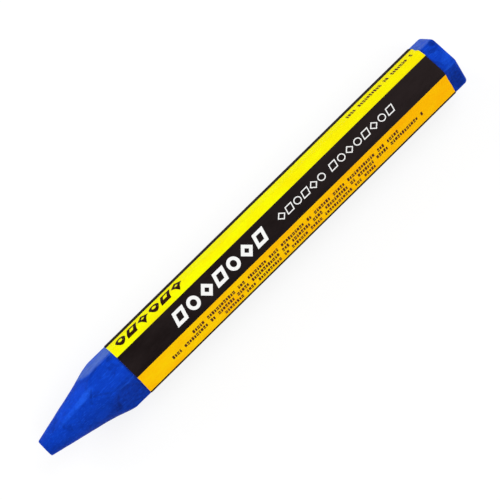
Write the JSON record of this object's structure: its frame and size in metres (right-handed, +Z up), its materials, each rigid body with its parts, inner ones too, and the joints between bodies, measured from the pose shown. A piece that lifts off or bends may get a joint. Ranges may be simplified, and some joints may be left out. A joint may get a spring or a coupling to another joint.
{
  "type": "wax crayon",
  "caption": "Wax crayon stick with a hexagonal body, a blunt conical nose and a glued striped paper wrapper that leaves the nose and the butt bare.",
  "frame": {"origin": "under the middle of the crayon, on the surface that its lower flat lies on", "axes": "+X along the stick from the marking tip to the butt, +Z up, square to the upper flat"},
  "size_m": [0.1206, 0.0146, 0.0129],
  "materials": {
    "wax": "pressed wax, satin with a soft sheen and faint mottling",
    "wrapper_paper": "coated paper printed in lengthwise yellow, black and golden bands, light gloss"
  },
  "bodies": {
    "root": {"wax_stick": "wax", "paper_wrapper": "wrapper_paper"}
  },
  "joints": []
}
